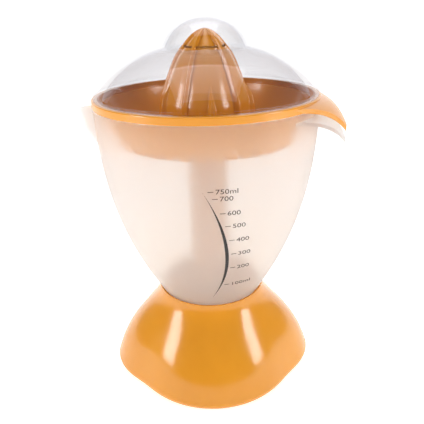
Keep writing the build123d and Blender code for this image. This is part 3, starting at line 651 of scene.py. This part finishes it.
@dataclass
class Reamer:
    """The cone that the fruit is pressed on: five tall ribs, five spear-shaped ones between them.

    Sizes with MM are in metres, azimuths in degrees, and heights and radii called shares are
    shares of the cone's height and of its widest radius.
    """

    around: int = 720
    levels: int = 110
    level_crowding: float = 1.35
    ribs: int = 5
    first_rib: float = -30.0
    rib_proud: float = 3.8 * MM
    rib_half_width: float = 1.5 * MM
    rib_slimmest: float = 0.45
    rib_full_width_share: float = 0.8
    rib_squareness: int = 5
    tip_fade_share: float = 0.30
    spear_offset: float = 36.5
    spear_share: float = 0.44
    spear_proud: float = 4.6 * MM
    spear_half_width: float = 3.0 * MM
    spear_widening: float = 1.25
    spear_roundness: float = 0.75
    spear_rise: float = 1.6
    panel_swell: float = 1.3 * MM
    swell_flatness: float = 1.5
    skin: float = 2.2 * MM
    tip_gap: float = 0.6 * MM
    hub_radius: float = 12.2 * MM
    hub_bore: float = 10.02 * MM
    hub_top_share: float = 0.82
    bore_top_share: float = 0.45
    inner_shares: Sequence[float] = (0.0, 0.1, 0.25, 0.4, 0.55, 0.7, 0.8)
    crest: Sequence[tuple[float, float]] = (
        (0.0, 0.982), (0.09, 0.978), (0.20, 0.955), (0.36, 0.862), (0.52, 0.752), (0.715, 0.59),
        (0.825, 0.435), (0.905, 0.31), (0.96, 0.185), (0.99, 0.075), (1.0, 0.0),
    )

    def crest_radius(self, share: float, full: float) -> float:
        """The ribs' outer radius at a share of the height."""
        return blend_line(self.crest, share) * full

    def turn_from(self, azimuth: float, start: float) -> float:
        """How far a direction is from the nearest of the ribs that begin at a start, in degrees."""
        pitch = 360.0 / self.ribs
        return (azimuth - start + pitch / 2) % pitch - pitch / 2

    def spear(self, share: float, azimuth: float, crest: float) -> float:
        """How far a spear-shaped rib stands out of its panel.

        Args:
            share: Height, from 0 at the foot to 1 at the tip.
            azimuth: Direction in degrees, 0 at the front.
            crest: The ribs' outer radius at this height, in metres.

        Returns:
            The height over the panel in metres, 0 beside and above the spear.
        """
        if share >= self.spear_share:
            return 0.0
        grown = 1.0 - share / self.spear_share
        half = self.spear_half_width * min(1.0, self.spear_widening * grown**self.spear_roundness)
        turn = self.turn_from(azimuth, self.first_rib + self.spear_offset)
        offset = abs(math.radians(turn)) * crest
        nearness = max(0.0, 1.0 - offset / max(half, TINY))
        return nearness * self.spear_proud * min(1.0, self.spear_rise * grown)

    def skin_radius(self, share: float, azimuth: float, full: float) -> float:
        """The outer surface's radius.

        Args:
            share: Height, from 0 at the foot to 1 at the tip.
            azimuth: Direction in degrees, 0 at the front.
            full: The widest radius in metres.

        Returns:
            The radius in metres.
        """
        crest = self.crest_radius(share, full)
        gap = self.turn_from(azimuth, self.first_rib)
        fade = min(1.0, crest / (self.tip_fade_share * full))
        proud = self.rib_proud * fade
        core = max(crest - proud, 0.0)
        away = abs(math.radians(gap)) * max(crest, TINY)
        grown = min(1.0, crest / (self.rib_full_width_share * full))
        width = self.rib_half_width * (self.rib_slimmest + (1.0 - self.rib_slimmest) * grown)
        ridge = proud / (1.0 + (away / width) ** self.rib_squareness)
        across = abs(gap) / (180.0 / self.ribs)
        swell = self.panel_swell * fade * (1.0 - (1.0 - across) ** 2) ** self.swell_flatness
        return min(core + max(ridge, swell + self.spear(share, azimuth, crest)), crest)

    def build(self, material: bpy.types.Material) -> bpy.types.Object:
        """Build the cone as one closed shell with its hub, in place of the CAD node.

        Args:
            material: The finish.

        Returns:
            The piece.
        """
        low, high = span("reamer")
        full = (high.y - low.y) / 2
        foot, height = low.z, high.z - low.z - self.tip_gap
        shell = RingShell(self.around)
        outer = []
        for level in range(self.levels):
            share = 1.0 - (1.0 - level / self.levels) ** self.level_crowding
            z = foot + height * share
            outer.append(shell.ring(lambda azimuth: self.skin_radius(share, azimuth, full), z))
        shell.bridge(outer)
        shell.close(outer[-1], foot + height)
        inside = []
        for share in self.inner_shares:
            wall = self.crest_radius(share, full) - self.rib_proud - self.skin
            inside.append(shell.round_ring(max(wall, self.hub_radius), foot + height * share))
        hub_top = shell.round_ring(self.hub_radius, foot + height * self.hub_top_share)
        hub_foot = shell.round_ring(self.hub_radius, foot)
        bore_foot = shell.round_ring(self.hub_bore, foot)
        bore_top = shell.round_ring(self.hub_bore, foot + height * self.bore_top_share)
        shell.bridge([outer[0], *inside, hub_top, hub_foot, bore_foot, bore_top])
        shell.close(bore_top, foot + height * self.bore_top_share)
        piece = publish("reamer_cone", shell.points, shell.faces, material)
        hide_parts("reamer")
        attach(piece, Body.REAMER.value)
        return piece


# ---------------------------------------------------------------------------
# The ml scale printed on the jar
# ---------------------------------------------------------------------------


@dataclass
class JarSkin:
    """The jar's outer wall, as a flare from the foot to the rim, in millimetres."""

    rim: float = 68.2
    foot: float = 30.2
    power: float = 2.28
    low: float = field(init=False)
    height: float = field(init=False)

    def __post_init__(self) -> None:
        """Take the jar's levels from the frame."""
        low, high = span("jar")
        self.low = low.z / MM
        self.height = (high.z - low.z) / MM

    def share(self, z: float) -> float:
        """A height as a share of the jar's own, from 0 at the foot to 1 at the rim."""
        return min(max((z - self.low) / self.height, 0.0), 1.0)

    def radius(self, z: float) -> float:
        """The skin's radius at a height."""
        return self.rim - (self.rim - self.foot) * (1 - self.share(z)) ** self.power

    def slope(self, z: float) -> float:
        """How fast the radius grows with height."""
        return (self.rim - self.foot) * self.power * (1 - self.share(z)) ** (self.power - 1) / self.height


@dataclass
class Scale:
    """The printed ml scale: a tapered curve, eight ticks and their numbers, in millimetres."""

    marks: Sequence[tuple[str, float]] = (
        ("750ml", 152.0), ("700", 147.8), ("600", 138.7), ("500", 130.2),
        ("400", 120.3), ("300", 110.0), ("200", 98.8), ("100ml", 83.8),
    )
    curve_top: float = 151.8
    curve_foot: float = 71.8
    curve_belly: float = 106.0
    curve_reach: float = 9.4
    bend_above: float = 0.0061
    bend_below: float = 0.0073
    curve_width: float = 2.0
    curve_slimmest: float = 0.03
    curve_skew: float = 0.9
    curve_sharpness: float = 1.25
    curve_steps: int = 48
    tick_gap: float = 1.9
    tick_gap_growth: float = 0.9
    tick_length: float = 3.0
    tick_weight: float = 0.34
    tick_steps: int = 6
    text_gap: float = 0.9
    text_height: float = 2.9
    text_size_ratio: float = 1.35
    text_stretch: float = 1.28
    text_resolution: int = 3
    proud: float = 0.05
    thickness: float = 0.05

    def curve_x(self, z: float) -> float:
        """How far right of the front the curve runs at a height, in millimetres."""
        bend = self.bend_above if z > self.curve_belly else self.bend_below
        return self.curve_reach - bend * (z - self.curve_belly) ** 2

    def on_jar(self, jar: JarSkin, x: float, z: float, out: float) -> Point:
        """A place on the jar's skin, in metres.

        Args:
            jar: The jar's skin.
            x: Distance right of the front, in millimetres.
            z: Height in millimetres.
            out: How far outside the skin, in millimetres.

        Returns:
            The point.
        """
        radius = jar.radius(z)
        azimuth = math.asin(max(-1.0, min(1.0, x / radius)))
        slope = jar.slope(z)
        tilt = math.hypot(1.0, slope)
        r = radius + out / tilt
        return (r * math.sin(azimuth) * MM, -r * math.cos(azimuth) * MM, (z - out * slope / tilt) * MM)

    def strip(self, jar: JarSkin, centre: Sequence[tuple[float, float]], halves: Sequence[float],
              level: bool) -> tuple[list[Point], list[tuple[int, ...]]]:
        """A thin closed strip of ink along a line.

        Args:
            jar: The jar's skin.
            centre: The line's places (x, z) in millimetres.
            halves: Half the strip's width at each place.
            level: True for a level line, whose width runs up and down.

        Returns:
            Its points and faces.
        """
        points: list[Point] = []
        faces: list[tuple[int, ...]] = []
        for (x, z), half in zip(centre, halves):
            for side, out in ((-1, 0), (1, 0), (1, 1), (-1, 1)):
                dx, dz = (0.0, side * half) if level else (side * half, 0.0)
                points.append(self.on_jar(jar, x + dx, z + dz, self.proud + out * self.thickness))
        for i in range(len(centre) - 1):
            for k in range(4):
                a, b = 4 * i + k, 4 * i + (k + 1) % 4
                faces.append((a, b, b + 4, a + 4))
        last = 4 * (len(centre) - 1)
        faces += [(3, 2, 1, 0), (last, last + 1, last + 2, last + 3)]
        return points, faces

    def label(self, jar: JarSkin, text: str, x: float,
              z: float) -> tuple[list[Point], list[tuple[int, ...]]]:
        """Numbers as thin closed shapes wrapped onto the jar.

        Args:
            jar: The jar's skin.
            text: What it says.
            x: The text's left edge in millimetres.
            z: The text's middle height in millimetres.

        Returns:
            Its points and faces.
        """
        writing = bpy.data.curves.new("writing", "FONT")
        writing.body = text
        writing.size = self.text_height * self.text_size_ratio
        writing.extrude = self.thickness / 2
        writing.resolution_u = self.text_resolution
        holder = bpy.data.objects.new("writing", writing)
        bpy.context.scene.collection.objects.link(holder)
        mesh = bpy.data.meshes.new_from_object(holder.evaluated_get(bpy.context.evaluated_depsgraph_get()))
        bpy.data.objects.remove(holder)
        low = min(v.co.y for v in mesh.vertices)
        high = max(v.co.y for v in mesh.vertices)
        middle = (low + high) / 2
        points = [
            self.on_jar(jar, x + v.co.x * self.text_stretch, z + v.co.y - middle,
                        self.proud + self.thickness / 2 + v.co.z)
            for v in mesh.vertices
        ]
        faces = [tuple(p.vertices) for p in mesh.polygons]
        bpy.data.meshes.remove(mesh)
        return points, faces

    def build(self, jar: JarSkin, material: bpy.types.Material) -> bpy.types.Object:
        """Print the whole scale as one piece on the jar.

        Args:
            jar: The jar's skin.
            material: The ink.

        Returns:
            The piece.
        """
        steps, rise = self.curve_steps, self.curve_top - self.curve_foot
        line = []
        halves = []
        for step in range(steps + 1):
            z = self.curve_foot + rise * step / steps
            swell = max(self.curve_slimmest, math.sin(math.pi * (step / steps) ** self.curve_skew))
            line.append((self.curve_x(z), z))
            halves.append(self.curve_width / 2 * swell ** self.curve_sharpness)
        shapes = [self.strip(jar, line, halves, level=False)]
        for text, z in self.marks:
            lift = (z - self.curve_foot) / rise
            start = self.curve_x(z) + self.tick_gap + self.tick_gap_growth * lift
            places = [(start + self.tick_length * step / self.tick_steps, z)
                      for step in range(self.tick_steps + 1)]
            shapes.append(self.strip(jar, places, [self.tick_weight / 2] * len(places), level=True))
            shapes.append(self.label(jar, text, start + self.tick_length + self.text_gap, z))
        points: list[Point] = []
        faces: list[tuple[int, ...]] = []
        for more_points, more_faces in shapes:
            shift = len(points)
            points += more_points
            faces += [tuple(i + shift for i in face) for face in more_faces]
        piece = publish("ml_scale", points, faces, material, smooth=False)
        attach(piece, Body.JAR.value)
        return piece


# ---------------------------------------------------------------------------
# Studio
# ---------------------------------------------------------------------------


@dataclass
class Camera:
    """The view's camera: its place and sensor in metres and millimetres, its turns in degrees.

    The focal length is in the same unit as the frame's width.
    """

    distance: float = 0.308
    height: float = 0.244
    pitch: float = 23.1
    yaw: float = -0.32
    roll: float = -1.47
    focal: float = 499.0
    frame_width: float = 424.0
    sensor: float = 36.0
    nearest: float = 0.01

    def place(self) -> None:
        """Create the camera and make it the scene's."""
        pitch, yaw, roll = (math.radians(a) for a in (self.pitch, self.yaw, self.roll))
        forward = Vector((0, math.cos(pitch), -math.sin(pitch)))
        right = Vector((1, 0, 0))
        up = right.cross(forward)
        turn = Matrix.Rotation(yaw, 3, "Z")
        forward, right, up = turn @ forward, turn @ right, turn @ up
        across = math.cos(roll) * right + math.sin(roll) * up
        upward = -math.sin(roll) * right + math.cos(roll) * up
        lens = bpy.data.cameras.new("view")
        lens.sensor_width = self.sensor
        lens.lens = self.focal / self.frame_width * self.sensor
        lens.clip_start = self.nearest
        holder = bpy.data.objects.new("view", lens)
        axes = Matrix((across, upward, -forward)).transposed().to_4x4()
        holder.matrix_world = Matrix.Translation((0, -self.distance, self.height)) @ axes
        bpy.context.scene.collection.objects.link(holder)
        bpy.context.scene.camera = holder


@dataclass
class SoftBox:
    """A rectangular studio light aimed at the object."""

    name: str
    place: Point
    size: tuple[float, float]
    power: float
    colour: Colour = (1.0, 1.0, 1.0)
    target: Point = (0.0, 0.0, 0.11)

    def hang(self) -> None:
        """Create the light."""
        lamp = bpy.data.lights.new(self.name, "AREA")
        lamp.shape = "RECTANGLE"
        lamp.size, lamp.size_y = self.size
        lamp.energy = self.power
        lamp.color = self.colour
        holder = bpy.data.objects.new(self.name, lamp)
        aim = Vector(self.target) - Vector(self.place)
        turn = aim.to_track_quat("-Z", "Y").to_matrix().to_4x4()
        holder.matrix_world = Matrix.Translation(self.place) @ turn
        bpy.context.scene.collection.objects.link(holder)


@dataclass
class Studio:
    """A pale floor and back wall with soft light all round."""

    floor_half: float = 6.0
    floor_glow: float = 0.80
    paper: tuple[Colour, Colour] = ((0.90, 0.90, 0.90), (0.93, 0.93, 0.93))
    paper_scale: float = 3.0
    paper_roughness: float = 0.9
    exposure: float = -0.40
    sky: float = 0.46
    lights: Sequence[SoftBox] = (
        SoftBox("left_box", (-0.95, -0.42, 0.40), (0.30, 0.6), 8.0),
        SoftBox("right_box", (0.95, -0.45, 0.40), (0.30, 0.6), 7.6),
        SoftBox("top_box", (0.0, 0.1, 1.3), (0.9, 0.9), 7.0),
    )

    def floor(self) -> None:
        """Lay the floor and raise the back wall, as one wide pale sheet with a faint unevenness."""
        sheet = NodeSheet("paper_floor")
        sheet.tint(sheet.noise(self.paper_scale), *self.paper)
        sheet.set(Roughness=self.paper_roughness, Emission_Strength=self.floor_glow, Emission_Color=WHITE)
        half = self.floor_half
        corners = [(-half, -half, 0), (half, -half, 0), (half, half, 0), (-half, half, 0)]
        corners += [(half, half, 2 * half), (-half, half, 2 * half)]
        piece = publish("studio_floor", corners, [(0, 1, 2, 3), (3, 2, 4, 5)], sheet.material, smooth=False)

    def light(self) -> None:
        """Set the surrounding light and hang the soft boxes."""
        world = bpy.data.worlds.new("studio_air")
        world.use_nodes = True
        air = world.node_tree.nodes["Background"]
        air.inputs["Color"].default_value = WHITE
        air.inputs["Strength"].default_value = self.sky
        bpy.context.scene.world = world
        for box in self.lights:
            box.hang()

    def grade(self) -> None:
        """Show colours as they are, with no film curve."""
        bpy.context.scene.view_settings.view_transform = "Standard"
        bpy.context.scene.view_settings.exposure = self.exposure


def main() -> None:
    """Build every piece in order."""
    logging.basicConfig(level=logging.INFO, format="%(name)s: %(message)s")
    Camera().place()
    studio = Studio()
    studio.floor()
    studio.light()
    studio.grade()
    wardrobe = Wardrobe()
    wardrobe.dress_frame()
    LOG.info("dressed %d CAD nodes", len(frame["nodes"]))
    piece = Reamer().build(wardrobe.of(Slot.ORANGE.value))
    LOG.info("built %s", piece.name)
    piece = Scale().build(JarSkin(), wardrobe.of(SCALE_INK))
    LOG.info("built %s", piece.name)


if __name__ == "__main__":
    main()
